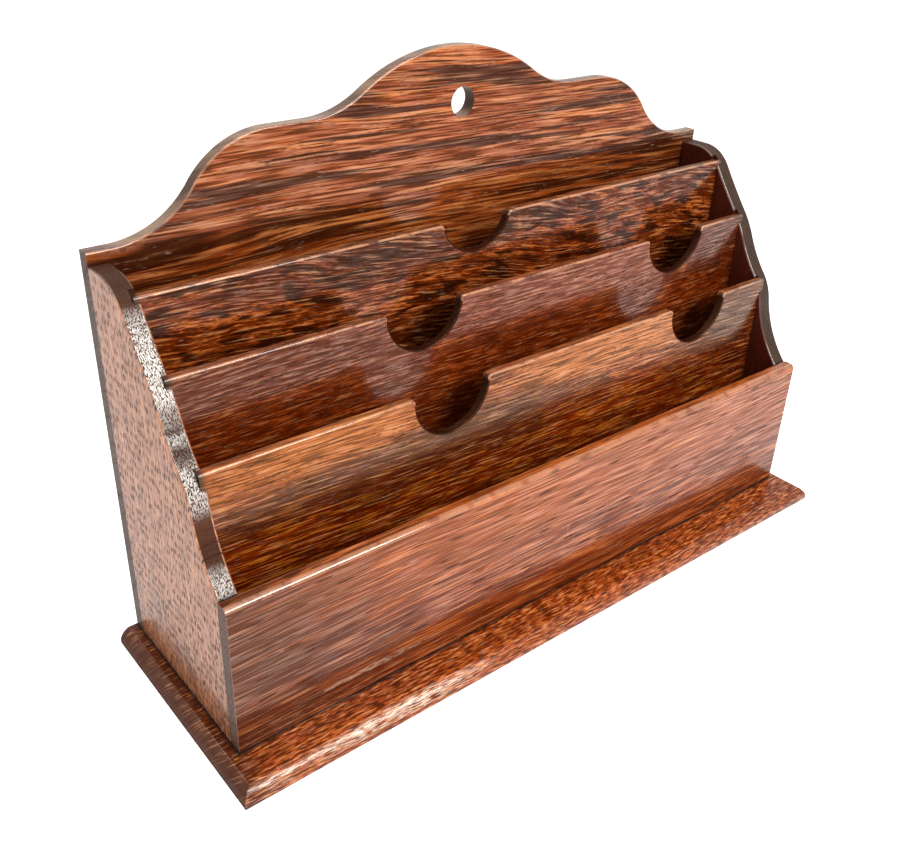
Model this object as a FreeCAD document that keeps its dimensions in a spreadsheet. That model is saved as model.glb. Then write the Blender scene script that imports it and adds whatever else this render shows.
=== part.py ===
import FreeCAD, Part
import math
import os
import re
import Sketcher

# A hand-made oak letter rack: a moulded base, a scrolled back board with a hanging hole, two scalloped
# sides with through housings, a low front board and three dividers with finger notches. Glue, screws from
# below and panel pins through the back hold it together, so nothing on it moves.
# Millimetres. X runs along the rack, the front faces -Y and Z is up. The origin is the middle of the
# footprint, on the surface that the rack stands on.

SIZES = [
    # Carcass and boards
    ("carcass_length", 314.0, "over the outer faces of the two sides"),
    ("carcass_depth", 88.0, "rear face of the back board to the front face of the front board"),
    ("back_thickness", 6.0, "back board"),
    ("side_thickness", 8.0, "each side"),
    ("front_thickness", 6.0, "front board"),
    ("divider_thickness", 4.0, "each divider"),
    # Base
    ("base_thickness", 7.0, "base board"),
    ("end_overhang", 8.0, "base beyond the outer face of each side"),
    ("front_overhang", 18.0, "base in front of the front board"),
    ("mould_run", 4.2, "moulded edge, from the flat top out to the rim"),
    ("mould_fall", 4.5, "moulded edge, from the flat top down to the rim"),
    ("mould_radius", 8.0, "crown of the moulded edge"),
    # Back board
    ("back_end_rise", 4.7, "level ends of the back board above the sides"),
    ("end_level", 9.0, "length of each level end"),
    ("scroll_run", 64.0, "length of each outer scroll"),
    ("scroll_rise", 32.5, "height of each outer scroll"),
    ("scroll_join_share", 0.5, "share of the outer scroll that is hollow"),
    ("shoulder_level", 16.0, "level run between the outer scroll and the dome"),
    ("dome_rise", 20.6, "height of the dome above the level runs"),
    ("dome_join_share", 0.36, "share of the dome's flank that is hollow"),
    ("crest_ease", 0.6, "eased arrises along the crest"),
    ("foot_round", 2.0, "rounded lower corners of the back board"),
    ("hanging_hole_diameter", 12.0, "hole to hang the rack on a wall"),
    ("hanging_hole_drop", 22.1, "axis of the hole below the top of the dome"),
    ("hanging_hole_offset", 5.0, "axis of the hole right of the middle"),
    # Sides
    ("side_rise", 4.8, "top of the sides above the rear divider"),
    ("shoulder_flat", 9.0, "level top of the side behind its first curve"),
    ("shoulder_run", 14.7, "depth of the first curve"),
    ("shoulder_fall", 7.7, "fall of the first curve"),
    ("middle_nose_lead", 1.0, "start of the middle nose behind the middle divider's centre"),
    ("middle_nose_rise", 0.6, "start of the middle nose above the middle divider's top"),
    ("middle_nose_run", 6.9, "depth of the middle nose"),
    ("middle_nose_fall", 11.0, "fall of the middle nose"),
    ("front_nose_lead", 2.3, "start of the front nose behind the front divider's centre"),
    ("front_nose_rise", 1.0, "start of the front nose above the front divider's top"),
    ("front_nose_run", 5.8, "depth of the front nose"),
    ("front_nose_fall", 11.7, "fall of the front nose"),
    ("scallop_ease", 0.8, "eased arrises of the scalloped edge"),
    # Front board
    ("front_height", 66.0, "top of the front board above the base"),
    ("front_round", 2.4, "rounded front arris of the front board's top"),
    ("front_ease", 0.8, "eased rear arris of the front board's top"),
    # Dividers and pockets
    ("rear_pocket", 19.0, "clear depth between the back board and the rear divider"),
    ("middle_pocket", 14.0, "clear depth between the rear and the middle divider"),
    ("front_pocket", 14.5, "clear depth between the middle and the front divider"),
    ("front_step", 39.2, "top of the front divider above the front board"),
    ("middle_step", 27.3, "top of the middle divider above the front one"),
    ("rear_step", 22.5, "top of the rear divider above the middle one"),
    ("divider_ease", 0.7, "eased arrises of the dividers' tops and notches"),
    ("housing_depth", 2.5, "housings in the sides that hold the dividers"),
    ("housing_clearance", 0.1, "play of a divider in its housing, each way"),
    # Finger notches
    ("notch_radius", 18.0, "half-round bottom of every finger notch"),
    ("rear_notch_depth", 13.8, "notch of the rear divider"),
    ("middle_notch_depth", 18.2, "notches of the middle divider"),
    ("front_notch_depth", 19.7, "notches of the front divider"),
    ("rear_notch_place", -4.0, "centre of the rear divider's notch from the middle"),
    ("left_notch_place", -44.0, "centre of the left notches from the middle"),
    ("right_notch_place", 102.5, "centre of the right notches from the middle"),
    ("lip_round", 1.6, "rounded lips of the notches"),
    # Screws through the base
    ("screw_diameter", 2.4, "shank"),
    ("screw_head_diameter", 4.8, "countersunk head"),
    ("screw_length", 16.0, "head to tip"),
    ("screw_tip", 0.4, "radius of the blunt tip"),
    ("screw_slot_width", 0.7, "driver slot"),
    ("screw_slot_depth", 0.6, "driver slot"),
    ("screw_sink", 0.3, "head above the underside of the base"),
    ("screw_end_inset", 70.0, "screws of the back board from the ends of the carcass"),
    ("screw_side_inset", 12.0, "screws of the sides from the front and rear edges of the sides"),
    # Pins through the back board
    ("pin_diameter", 1.4, "shank"),
    ("pin_length", 15.0, "end to end"),
    ("pin_sink", 0.4, "end of the pin below the rear face of the back board"),
    ("lowest_pin_height", 25.0, "lowest pin above the base"),
    ("highest_pin_drop", 30.0, "highest pin below the top of the sides"),
    # Shared by all
    ("fixing_clearance", 0.1, "play round a screw or pin, and past its tip"),
    ("overrun", 5.0, "how far every cut runs past the face that it leaves"),
]
COUNTERSINK = 45
NEAR = Part.Precision.confusion()

# Formulas that several pieces share
HALF_LENGTH = "(carcass_length / 2)"
BASE_DEPTH = "(carcass_depth + front_overhang)"
SIDE_DEPTH = "(carcass_depth - back_thickness - front_thickness)"
REAR_PLACE = "(rear_pocket + divider_thickness / 2)"
MIDDLE_PLACE = f"({REAR_PLACE} + divider_thickness + middle_pocket)"
FRONT_PLACE = f"({MIDDLE_PLACE} + divider_thickness + front_pocket)"
FRONT_TOP = "(front_height + front_step)"
MIDDLE_TOP = f"({FRONT_TOP} + middle_step)"
REAR_TOP = f"({MIDDLE_TOP} + rear_step)"
SIDE_TOP = f"({REAR_TOP} + side_rise)"
BACK_END_TOP = f"({SIDE_TOP} + back_end_rise)"
CREST_TOP = f"({BACK_END_TOP} + scroll_rise + dome_rise)"
HEAD_RUN = "((screw_head_diameter - screw_diameter) / 2)"

DOC = FreeCAD.newDocument("LetterRack")
SHEET = DOC.addObject("Spreadsheet::Sheet", "Sizes")


def vector(x, y, z=0.0):
    """A point or a direction."""
    return FreeCAD.Vector(x, y, z)


def fill_sheet():
    """Write every driving dimension into the sheet, with its name as the alias."""
    for row, (name, value, meaning) in enumerate(SIZES, start=1):
        SHEET.set(f"A{row}", meaning)
        SHEET.set(f"B{row}", str(value))
        SHEET.setAlias(f"B{row}", name)
    DOC.recompute()


def bound(formula):
    """A formula of size names, as an expression that reads the sheet."""
    return re.sub(r"([a-z]\w+)", r"Sizes.\1", formula)


def number(formula):
    """The present value of a formula."""
    return float(SHEET.evalExpression(bound(formula)))


def tie(thing, field, formula):
    """Bind one property of an object to the sheet."""
    thing.setExpression(field, bound(formula))


class Outline:
    """One closed outline of a sketch, drawn from corner to corner, each corner tied to the sheet."""

    def __init__(self, sketch, across, up):
        self.sketch = sketch
        self.start = (across, up)
        self.here = self.point(across, up)
        self.heading = None
        self.stretches = []

    def point(self, across, up):
        return vector(number(across), number(up))

    def line(self, across, up):
        """Go straight to the next corner."""
        there = self.point(across, up)
        piece = self.sketch.addGeometry(Part.LineSegment(self.here, there))
        self.heading = (there - self.here).normalize()
        self.join(piece, (1, 2), "Coincident")
        self.here = there
        tie_point(self.sketch, piece, 2, across, up)
        return self

    def arc(self, across, up):
        """Go to the next corner on an arc that leaves the last stretch smoothly."""
        chord = self.point(across, up) - self.here
        left = vector(-self.heading.y, self.heading.x)
        radius = chord.Length ** 2 / (2 * chord.dot(left))
        self.swing(self.here + left * radius, math.copysign(1, radius), "Tangent", across, up)
        return self

    def crown(self, across, up, radius):
        """Turn sharply and go to the next corner on an arc of its own radius that bows towards the last stretch."""
        chord = self.point(across, up) - self.here
        left = vector(-chord.y, chord.x).normalize()
        turn = math.copysign(1, self.heading.dot(left))
        rise = math.sqrt(number(radius) ** 2 - chord.Length ** 2 / 4)
        piece = self.swing(self.here + chord / 2 + left * turn * rise, turn, "Coincident", across, up)
        tag = f"Radius_{piece}"
        rule = self.sketch.addConstraint(Sketcher.Constraint("Radius", piece, number(radius)))
        self.sketch.renameConstraint(rule, tag)
        tie(self.sketch, f"Constraints.{tag}", radius)
        return self

    def swing(self, centre, turn, kind, across, up):
        """Add the arc round a centre to the next corner, to the left where the turn is positive."""
        there = self.point(across, up)
        angles = [math.atan2(end.y - centre.y, end.x - centre.x) for end in (self.here, there)]
        ends = (1, 2)
        if turn < 0:
            angles.reverse()
            ends = (2, 1)
        spoke = there - centre
        circle = Part.Circle(centre, vector(0, 0, 1), spoke.Length)
        piece = self.sketch.addGeometry(Part.ArcOfCircle(circle, *angles))
        self.heading = vector(-spoke.y, spoke.x).normalize() * turn
        self.join(piece, ends, kind)
        self.here = there
        tie_point(self.sketch, piece, ends[1], across, up)
        return piece

    def join(self, piece, ends, kind):
        """Hold a new stretch to the end of the last one."""
        if self.stretches:
            last, last_ends = self.stretches[-1]
            self.sketch.addConstraint(Sketcher.Constraint(kind, last, last_ends[1], piece, ends[0]))
        self.stretches.append((piece, ends))

    def close(self):
        """Go straight back to the first corner."""
        self.line(*self.start)
        first, first_ends = self.stretches[0]
        last, last_ends = self.stretches[-1]
        self.sketch.addConstraint(Sketcher.Constraint("Coincident", last, last_ends[1], first, first_ends[0]))


def tie_point(sketch, piece, vertex, across, up):
    """Tie one point of a sketch to the sheet, or to an axis where its formula is zero."""
    for kind, formula, axis in (("DistanceX", across, -2), ("DistanceY", up, -1)):
        if formula == "0":
            sketch.addConstraint(Sketcher.Constraint("PointOnObject", piece, vertex, axis))
            continue
        tag = f"{kind}_{piece}_{vertex}"
        rule = sketch.addConstraint(Sketcher.Constraint(kind, -1, 1, piece, vertex, number(formula)))
        sketch.renameConstraint(rule, tag)
        tie(sketch, f"Constraints.{tag}", formula)


def rectangle(sketch, left, low, right, high):
    """A rectangle between two opposite corners."""
    Outline(sketch, left, low).line(right, low).line(right, high).line(left, high).close()


def circle(sketch, across, up, diameter):
    """A circle tied to the sheet."""
    piece = sketch.addGeometry(Part.Circle(vector(number(across), number(up)), vector(0, 0, 1), number(diameter) / 2))
    tie_point(sketch, piece, 3, across, up)
    tag = f"Diameter_{piece}"
    rule = sketch.addConstraint(Sketcher.Constraint("Diameter", piece, number(diameter)))
    sketch.renameConstraint(rule, tag)
    tie(sketch, f"Constraints.{tag}", diameter)


def new_body(label, x, y, z):
    """An empty body whose origin lies at the given place."""
    body = DOC.addObject("PartDesign::Body", label)
    body.Label = label
    for axis, formula in (("x", x), ("y", y), ("z", z)):
        if formula != "0":
            tie(body, f"Placement.Base.{axis}", formula)
    return body


def new_sketch(body, name, role, lift="0"):
    """A sketch on one of the body's own planes, or lifted off it along the plane's normal."""
    plane = next(part for part in body.Origin.OriginFeatures if part.Role == role)
    sketch = body.newObject("Sketcher::SketchObject", name)
    sketch.AttachmentSupport = (plane, [""])
    sketch.MapMode = "FlatFace"
    if lift != "0":
        tie(sketch, "AttachmentOffset.Base.z", lift)
    return sketch


def pad(body, sketch, thickness, taper=0):
    """Give a sketch its thickness, along the plane's normal, with its flanks at an angle."""
    feature = body.newObject("PartDesign::Pad", f"{sketch.Name}_pad")
    feature.Profile = sketch
    feature.TaperAngle = taper
    tie(feature, "Length", thickness)
    sketch.Visibility = False
    DOC.recompute()


def cut(body, sketch, depth):
    """Cut a sketch away to a depth on both sides of its plane, and see that wood is removed."""
    before = body.Shape.Volume
    feature = body.newObject("PartDesign::Pocket", f"{sketch.Name}_cut")
    feature.Profile = sketch
    feature.SideType = "Symmetric"
    tie(feature, "Length", f"2 * ({depth})")
    sketch.Visibility = False
    DOC.recompute()
    if not body.Shape.Volume < before:
        raise RuntimeError(f"{feature.Label} removes nothing")


def circles(body, name, role, centres, diameter):
    """A sketch with the same circle at each centre."""
    sketch = new_sketch(body, name, role)
    for across, up in centres:
        circle(sketch, across, up, diameter)
    return sketch


def drill(body, name, role, centres, diameter, depth):
    """Drill the same hole at each centre."""
    cut(body, circles(body, name, role, centres, diameter), depth)


def ease(body, kind, name, field, size, wanted):
    """Round or chamfer every edge of the body that the test accepts."""
    base = body.Tip
    shape = base.Shape
    names = [f"Edge{place}" for place, edge in enumerate(shape.Edges, start=1) if wanted(edge)]
    if not names:
        raise RuntimeError(f"{name} finds no edge")
    feature = body.newObject(kind, f"{body.Name}_{name}")
    feature.Base = (base, names)
    tie(feature, field, size)
    DOC.recompute()


def fillet(body, name, size, wanted):
    """Round the edges that the test accepts."""
    ease(body, "PartDesign::Fillet", name, "Radius", size, wanted)


def chamfer(body, name, size, wanted):
    """Break the edges that the test accepts."""
    ease(body, "PartDesign::Chamfer", name, "Size", size, wanted)


def near(first, second):
    """Whether two coordinates are the same place."""
    return math.isclose(first, second, abs_tol=NEAR)


def in_plane(edge, axis, value):
    """Whether an edge lies wholly at one value of an axis, such as "X"."""
    box = edge.BoundBox
    return near(getattr(box, axis + "Min"), value) and near(getattr(box, axis + "Max"), value)


def build_base_board():
    body = new_body("base_board", "0", "0", "0")
    half_depth = f"({BASE_DEPTH} / 2)"
    half_base = f"({HALF_LENGTH} + end_overhang)"
    board = new_sketch(body, "base_outline", "XY_Plane")
    rectangle(board, f"-{half_base}", f"-{half_depth}", half_base, half_depth)
    pad(body, board, "base_thickness")
    over = "(base_thickness + overrun)"
    rim = "(base_thickness - mould_fall)"
    front = new_sketch(body, "front_moulding", "YZ_Plane")
    edge = Outline(front, f"-{half_depth} + mould_run", over)
    edge.line(f"-{half_depth} + mould_run", "base_thickness").crown(f"-{half_depth}", rim, "mould_radius")
    edge.line(f"-{half_depth} - overrun", rim).line(f"-{half_depth} - overrun", over).close()
    cut(body, front, f"{half_base} + overrun")
    ends = new_sketch(body, "end_mouldings", "XZ_Plane")
    for sign in ("-", ""):
        edge = Outline(ends, f"{sign}({half_base} - mould_run)", over)
        edge.line(f"{sign}({half_base} - mould_run)", "base_thickness").crown(f"{sign}{half_base}", rim, "mould_radius")
        edge.line(f"{sign}({half_base} + overrun)", rim).line(f"{sign}({half_base} + overrun)", over).close()
    cut(body, ends, f"{half_depth} + overrun")
    clear = "screw_diameter + 2 * fixing_clearance"
    drill(body, "screw_holes", "XY_Plane", screw_centres(), clear, "base_thickness + overrun")
    chamfer(body, "countersinks", f"{HEAD_RUN} + screw_sink",
            lambda side: isinstance(side.Curve, Part.Circle) and in_plane(side, "Z", 0))
    return body


def screw_centres():
    """Where the screws pass through the base, as formulas of X and Y."""
    rear = f"({BASE_DEPTH} / 2)"
    side = f"({HALF_LENGTH} - side_thickness / 2)"
    board = f"({HALF_LENGTH} - screw_end_inset)"
    centres = []
    for sign in ("-", ""):
        centres.append((f"{sign}{side}", f"{rear} - back_thickness - screw_side_inset"))
        centres.append((f"{sign}{side}", f"{rear} - back_thickness - {SIDE_DEPTH} + screw_side_inset"))
        centres.append((f"{sign}{board}", f"{rear} - back_thickness / 2"))
    return centres


def pilot(body, centres):
    """Pilot holes for screws that come up through the base."""
    diameter = "screw_diameter + 2 * fixing_clearance"
    depth = "screw_sink + screw_length - base_thickness + fixing_clearance"
    drill(body, f"{body.Name}_pilots", "XY_Plane", centres, diameter, depth)


def build_back_board():
    body = new_body("back_board", "0", f"{BASE_DEPTH} / 2", "base_thickness")
    sketch = new_sketch(body, "crest_outline", "XZ_Plane")
    outer = f"({HALF_LENGTH} - end_level)"
    inner = f"({outer} - scroll_run)"
    dome = f"({inner} - shoulder_level)"
    level = f"({BACK_END_TOP} + scroll_rise)"
    scroll_x = f"({outer} - scroll_join_share * scroll_run)"
    scroll_z = f"({BACK_END_TOP} + scroll_join_share * scroll_rise)"
    dome_x = f"({dome} - dome_join_share * {dome})"
    dome_z = f"({level} + dome_join_share * dome_rise)"
    crest = Outline(sketch, f"-{HALF_LENGTH}", "0").line(f"-{HALF_LENGTH}", BACK_END_TOP)
    crest.line(f"-{outer}", BACK_END_TOP).arc(f"-{scroll_x}", scroll_z).arc(f"-{inner}", level)
    crest.line(f"-{dome}", level).arc(f"-{dome_x}", dome_z).arc("0", CREST_TOP)
    crest.arc(dome_x, dome_z).arc(dome, level).line(inner, level)
    crest.arc(scroll_x, scroll_z).arc(outer, BACK_END_TOP).line(HALF_LENGTH, BACK_END_TOP)
    crest.line(HALF_LENGTH, "0").close()
    pad(body, sketch, "back_thickness")
    lowest = number(BACK_END_TOP) - NEAR
    rear, front = 0, -number("back_thickness")
    chamfer(body, "crest_arrises", "crest_ease",
            lambda side: side.BoundBox.ZMin > lowest and (in_plane(side, "Y", rear) or in_plane(side, "Y", front)))
    fillet(body, "foot_corners", "foot_round",
           lambda side: in_plane(side, "Z", 0) and near(abs(side.CenterOfMass.x), number(HALF_LENGTH)))
    through = "back_thickness + overrun"
    hole = [("hanging_hole_offset", f"{CREST_TOP} - hanging_hole_drop")]
    drill(body, "hanging_hole", "XZ_Plane", hole, "hanging_hole_diameter", through)
    drill(body, "pin_holes", "XZ_Plane", pin_centres(), "pin_diameter + 2 * fixing_clearance", through)
    board = f"({HALF_LENGTH} - screw_end_inset)"
    pilot(body, [(f"{sign}{board}", "-back_thickness / 2") for sign in ("-", "")])
    return body


def pin_heights():
    """Heights of the pins above the base."""
    return ["lowest_pin_height", f"{SIDE_TOP} - highest_pin_drop"]


def pin_centres():
    """Where the pins pass through the back board, as formulas of X and of the height above the base."""
    side = f"({HALF_LENGTH} - side_thickness / 2)"
    return [(f"{sign}{side}", height) for sign in ("-", "") for height in pin_heights()]


def build_side(label, x, inner_face):
    """One scalloped side. The inner face, at its height along X, holds the housings."""
    body = new_body(label, x, f"{BASE_DEPTH} / 2 - back_thickness", "base_thickness")
    sketch = new_sketch(body, f"{label}_outline", "YZ_Plane")
    edge = Outline(sketch, "0", "0").line("0", SIDE_TOP).line("-shoulder_flat", SIDE_TOP)
    edge.arc("-(shoulder_flat + shoulder_run)", f"{SIDE_TOP} - shoulder_fall")
    for place, top, nose in ((MIDDLE_PLACE, MIDDLE_TOP, "middle_nose"), (FRONT_PLACE, FRONT_TOP, "front_nose")):
        start = f"({place} - {nose}_lead)"
        crown = f"({top} + {nose}_rise)"
        edge.arc(f"-{start}", crown)
        edge.arc(f"-({start} + {nose}_run)", f"{crown} - {nose}_fall")
    edge.arc(f"-{SIDE_DEPTH}", "front_height").line(f"-{SIDE_DEPTH}", "0").close()
    pad(body, sketch, "side_thickness")
    lowest = number("front_height") - NEAR
    thickness = number("side_thickness")
    chamfer(body, "scallop_arrises", "scallop_ease",
            lambda side: side.BoundBox.ZMin > lowest and (in_plane(side, "X", 0) or in_plane(side, "X", thickness)))
    housings = new_sketch(body, f"{label}_housings", "YZ_Plane", inner_face)
    half = "(divider_thickness / 2 + housing_clearance)"
    for place in (REAR_PLACE, MIDDLE_PLACE, FRONT_PLACE):
        rectangle(housings, f"-{place} - {half}", "-overrun", f"-{place} + {half}", f"{SIDE_TOP} + overrun")
    cut(body, housings, "housing_depth")
    middle = "side_thickness / 2"
    pilot(body, [(middle, "-screw_side_inset"), (middle, f"-({SIDE_DEPTH} - screw_side_inset)")])
    drill(body, f"{label}_pin_holes", "XZ_Plane", [(middle, height) for height in pin_heights()],
          "pin_diameter + 2 * fixing_clearance", "pin_sink + pin_length - back_thickness + fixing_clearance")
    return body


def build_front_board():
    body = new_body("front_board", "0", f"{BASE_DEPTH} / 2 - carcass_depth + front_thickness", "base_thickness")
    sketch = new_sketch(body, "front_outline", "XZ_Plane")
    rectangle(sketch, f"-{HALF_LENGTH}", "0", HALF_LENGTH, "front_height")
    pad(body, sketch, "front_thickness")
    top = number("front_height")
    front = -number("front_thickness")
    fillet(body, "front_arris", "front_round", lambda side: in_plane(side, "Z", top) and in_plane(side, "Y", front))
    fillet(body, "rear_arris", "front_ease", lambda side: in_plane(side, "Z", top) and in_plane(side, "Y", 0))
    return body


def build_divider(label, place, height, notches, depth):
    """One divider, notched at the given places, with every exposed arris eased."""
    body = new_body(label, "0", f"{BASE_DEPTH} / 2 - back_thickness - {place} + divider_thickness / 2",
                    "base_thickness")
    half = f"({HALF_LENGTH} - side_thickness + housing_depth - housing_clearance)"
    sketch = new_sketch(body, f"{label}_outline", "XZ_Plane")
    rectangle(sketch, f"-{half}", "0", half, height)
    pad(body, sketch, "divider_thickness")
    cutter = new_sketch(body, f"{label}_notches", "XZ_Plane")
    over = f"({height} + notch_radius + overrun)"
    centre = f"({height} - {depth} + notch_radius)"
    for notch in notches:
        left = f"{notch} - notch_radius"
        right = f"{notch} + notch_radius"
        shape = Outline(cutter, left, over).line(left, centre)
        shape.arc(notch, f"{height} - {depth}").arc(right, centre).line(right, over).close()
    cut(body, cutter, "divider_thickness + overrun")
    top = number(height)
    end = number(half)
    fillet(body, "lips", "lip_round",
           lambda side: in_plane(side, "Z", top) and side.BoundBox.XLength < NEAR
           and not near(abs(side.CenterOfMass.x), end))
    bottom = top - number(depth) - number("overrun")
    back = -number("divider_thickness")
    chamfer(body, "arrises", "divider_ease",
            lambda side: side.BoundBox.ZMin > bottom and (in_plane(side, "Y", 0) or in_plane(side, "Y", back))
            and not near(side.BoundBox.XMin, side.BoundBox.XMax))
    return body


def build_base_screws():
    """Slotted countersunk wood screws that come up through the base into the boards on it."""
    body = new_body("base_screws", "0", "0", "screw_sink")
    body.AllowCompound = True
    centres = screw_centres()
    pad(body, circles(body, "screw_shanks", "XY_Plane", centres, "screw_diameter"), "screw_length")
    pad(body, circles(body, "screw_heads", "XY_Plane", centres, "screw_head_diameter"), HEAD_RUN, -COUNTERSINK)
    tip = number("screw_length")
    chamfer(body, "screw_tips", "screw_diameter / 2 - screw_tip", lambda side: in_plane(side, "Z", tip))
    slots = new_sketch(body, "screw_slots", "XY_Plane")
    for across, up in centres:
        rectangle(slots, f"{across} - screw_head_diameter", f"{up} - screw_slot_width / 2",
                  f"{across} + screw_head_diameter", f"{up} + screw_slot_width / 2")
    cut(body, slots, "screw_slot_depth")
    return body


def build_back_pins():
    """Brads that go forward through the back board into the rear edges of the sides."""
    body = new_body("back_pins", "0", f"{BASE_DEPTH} / 2 - pin_sink", "base_thickness")
    body.AllowCompound = True
    pad(body, circles(body, "pin_shanks", "XZ_Plane", pin_centres(), "pin_diameter"), "pin_length")
    return body


def check(nodes):
    """Stop if any object failed, any sketch is loose, or any node lacks a valid shape."""
    for thing in DOC.Objects:
        if "Invalid" in thing.State or "Error" in thing.State:
            raise RuntimeError(f"{thing.Label} did not build: {thing.State}")
        if thing.TypeId == "Sketcher::SketchObject" and not thing.FullyConstrained:
            raise RuntimeError(f"{thing.Label} is not fully tied to the sheet")
    for node in nodes:
        if node.Shape.isNull() or not node.Shape.isValid():
            raise RuntimeError(f"{node.Label} has no valid shape")


def build():
    fill_sheet()
    notches = ["left_notch_place", "right_notch_place"]
    nodes = [
        build_base_board(),
        build_back_board(),
        build_side("left_side", f"-{HALF_LENGTH}", "side_thickness"),
        build_side("right_side", f"{HALF_LENGTH} - side_thickness", "0"),
        build_front_board(),
        build_divider("rear_divider", REAR_PLACE, REAR_TOP, ["rear_notch_place"], "rear_notch_depth"),
        build_divider("middle_divider", MIDDLE_PLACE, MIDDLE_TOP, notches, "middle_notch_depth"),
        build_divider("front_divider", FRONT_PLACE, FRONT_TOP, notches, "front_notch_depth"),
    ]
    nodes += [build_base_screws(), build_back_pins()]
    DOC.recompute()
    check(nodes)
    os.makedirs("parts", exist_ok=True)
    for node in nodes:
        node.Shape.exportStep(f"parts/{node.Label}.step")
        print(f"{node.Label}: {len(node.Shape.Solids)} solid, {node.Shape.Volume:.0f} mm3")


build()
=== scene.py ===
import logging
import math
from dataclasses import KW_ONLY, dataclass
from enum import Enum
from typing import Callable, Iterable, Sequence, Union

import bpy
from mathutils import Matrix, Vector


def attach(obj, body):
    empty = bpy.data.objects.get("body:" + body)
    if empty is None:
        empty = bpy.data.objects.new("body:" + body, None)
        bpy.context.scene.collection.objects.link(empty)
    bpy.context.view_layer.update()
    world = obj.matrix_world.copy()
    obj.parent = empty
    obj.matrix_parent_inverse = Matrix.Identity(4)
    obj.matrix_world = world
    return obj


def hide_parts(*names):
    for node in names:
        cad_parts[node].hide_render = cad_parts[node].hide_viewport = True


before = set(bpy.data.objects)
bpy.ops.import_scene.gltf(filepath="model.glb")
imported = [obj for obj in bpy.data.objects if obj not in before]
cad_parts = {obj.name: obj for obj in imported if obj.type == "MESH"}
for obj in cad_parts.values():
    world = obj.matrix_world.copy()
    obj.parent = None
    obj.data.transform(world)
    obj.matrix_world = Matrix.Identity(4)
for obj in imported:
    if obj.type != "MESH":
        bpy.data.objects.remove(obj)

LOG = logging.getLogger("letter_rack")
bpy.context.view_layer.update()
MM = 0.001

Number = Union["Wire", float]
Pair = tuple[float, float]
Tone = tuple[float, float, float]
Ends = Sequence[Vector]


# The rack's main sizes, in metres, as the solids have them

@dataclass(frozen=True)
class Rack:
    """The sizes that more than one board follows. The dividers are listed from the rear one to the front one."""

    length: float = 314 * MM
    rear: float = 53 * MM
    back_thickness: float = 6 * MM
    side_thickness: float = 8 * MM
    front_thickness: float = 6 * MM
    side_depth: float = 76 * MM
    base_thickness: float = 7 * MM
    side_top: float = 166.8 * MM
    front_top: float = 73 * MM
    divider_thickness: float = 4 * MM
    divider_reach: float = 302.8 * MM
    divider_places: tuple[float, ...] = (26 * MM, 8 * MM, -10.5 * MM)
    divider_tops: tuple[float, ...] = (162 * MM, 139.5 * MM, 112.2 * MM)
    notch_lip: float = 1.6 * MM

    @property
    def half(self) -> float:
        """Half the length over the two sides."""
        return self.length / 2

    @property
    def side_rear(self) -> float:
        """Where the rear edges of the sides meet the back board."""
        return self.rear - self.back_thickness

    @property
    def side_front(self) -> float:
        """Where the front edges of the sides meet the front board."""
        return self.side_rear - self.side_depth

    @property
    def front_face(self) -> float:
        """The front face of the front board."""
        return self.side_front - self.front_thickness


RACK = Rack()


class Lie(Enum):
    """How a board lies: the axis across its outline, the one up its outline and the one through it."""

    UPRIGHT = ("X", "Z", "Y")
    ENDWISE = ("Y", "Z", "X")
    FLAT = ("X", "Y", "Z")


class Grain(Enum):
    """The axis that the wood's fibres follow, then the one across the face and the one through the board."""

    LENGTHWISE = ("X", "Z", "Y")
    STANDING = ("Z", "Y", "X")
    BASE = ("X", "Y", "Z")


AXES = {"X": Vector((1, 0, 0)), "Y": Vector((0, 1, 0)), "Z": Vector((0, 0, 1))}


# Shader maths

def maths(operation: str, turned: bool = False) -> Callable[..., "Wire"]:
    """Make a method that puts a Math node on a wire.

    Args:
        operation: The Math node's operation.
        turned: Whether the wire comes last of the values that the node takes, and not first.

    Returns:
        The method, which takes the other values and returns the result.
    """
    def put(wire: "Wire", *others: Number) -> "Wire":
        """Put the node on this wire and the others."""
        values = (*others, wire) if turned else (wire, *others)
        return wire.tree.add("ShaderNodeMath", {"operation": operation}, dict(enumerate(values)))

    return put


class Wire:
    """One socket of a node tree, which takes part in arithmetic.

    The size of a value has no sign, its part is what is left over a whole number, and its whole is that number.
    """

    def __init__(self, tree: "Tree", socket: bpy.types.NodeSocket) -> None:
        """Keep the tree and the socket."""
        self.tree = tree
        self.socket = socket

    __add__ = __radd__ = maths("ADD")
    __sub__, __rsub__ = maths("SUBTRACT"), maths("SUBTRACT", True)
    __mul__ = __rmul__ = maths("MULTIPLY")
    __truediv__, __pow__ = maths("DIVIDE"), maths("POWER")
    least, most = maths("MINIMUM"), maths("MAXIMUM")
    size, part, whole = maths("ABSOLUTE"), maths("FRACT"), maths("FLOOR")

    def within(self, low: float, high: float) -> "Wire":
        """Rise smoothly from 0 at low to 1 at high, or fall where low is the larger."""
        start, end = sorted((low, high))
        step = self.tree.add("ShaderNodeMapRange", {"interpolation_type": "SMOOTHSTEP"},
                             {"Value": self, "From Min": start, "From Max": end})
        return step if low < high else 1 - step


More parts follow.
